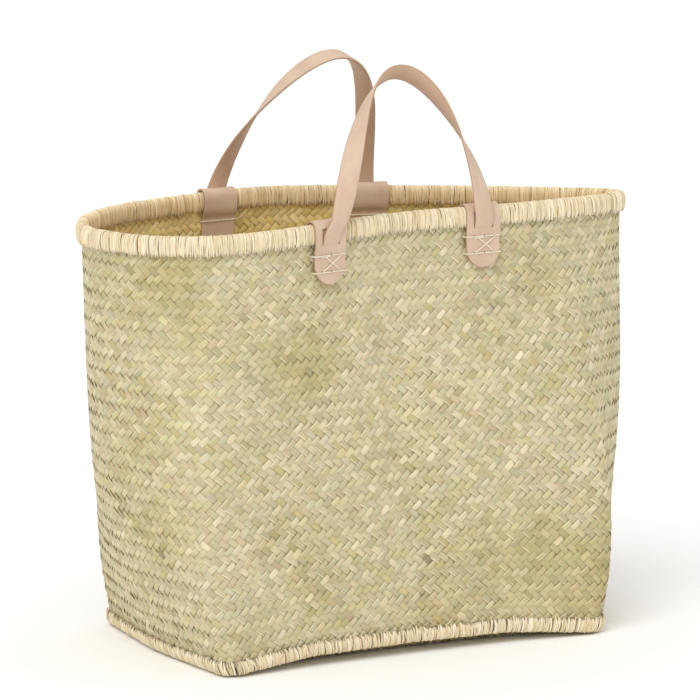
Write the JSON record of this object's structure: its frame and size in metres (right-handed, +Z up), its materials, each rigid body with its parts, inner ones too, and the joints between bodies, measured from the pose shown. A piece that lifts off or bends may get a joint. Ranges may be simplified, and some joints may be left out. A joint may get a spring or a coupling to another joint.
{
  "type": "woven market basket",
  "caption": "Tall woven palm-leaf market basket with overcast raffia rim and base edge and twin leather carry handles stitched to slitted leather tabs.",
  "frame": {"origin": "centre of the woven base's flat underside, on the floor", "axes": "+Z up, X along the long side, front (towards -Y) is the side drawn in between its handle tabs"},
  "size_m": [0.5246, 0.2451, 0.5182],
  "materials": {
    "seagrass": "flat strips, slightly glossy",
    "raffia": "fibrous, matt",
    "leather": "smooth outside, suede inside, satin",
    "thread": "waxed thread"
  },
  "bodies": {
    "basket": {"woven_wall": "seagrass", "woven_base": "seagrass", "rim_core": "raffia", "rim_binding": "raffia", "base_edge_core": "raffia", "base_edge_binding": "raffia", "front_left_tab": "leather", "front_left_strap_tail": "leather", "front_left_stitches": "thread", "front_right_tab": "leather", "front_right_strap_tail": "leather", "front_right_stitches": "thread", "back_left_tab": "leather", "back_left_strap_tail": "leather", "back_left_stitches": "thread", "back_right_tab": "leather", "back_right_strap_tail": "leather", "back_right_stitches": "thread"},
    "front_handle": {"front_handle_strap": "leather"},
    "back_handle": {"back_handle_strap": "leather"}
  },
  "joints": [
    {"name": "front_handle_fold", "type": "hinge", "parent": "basket", "child": "front_handle", "pos_m": [0.00229, -0.10057, 0.39015], "axis": [0.9947, 0.1024, 0], "range_deg": [-20, 162]},
    {"name": "back_handle_fold", "type": "hinge", "parent": "basket", "child": "back_handle", "pos_m": [-0.00798, 0.11423, 0.38892], "axis": [-0.9955, 0.0948, 0], "range_deg": [-14, 168]}
  ]
}
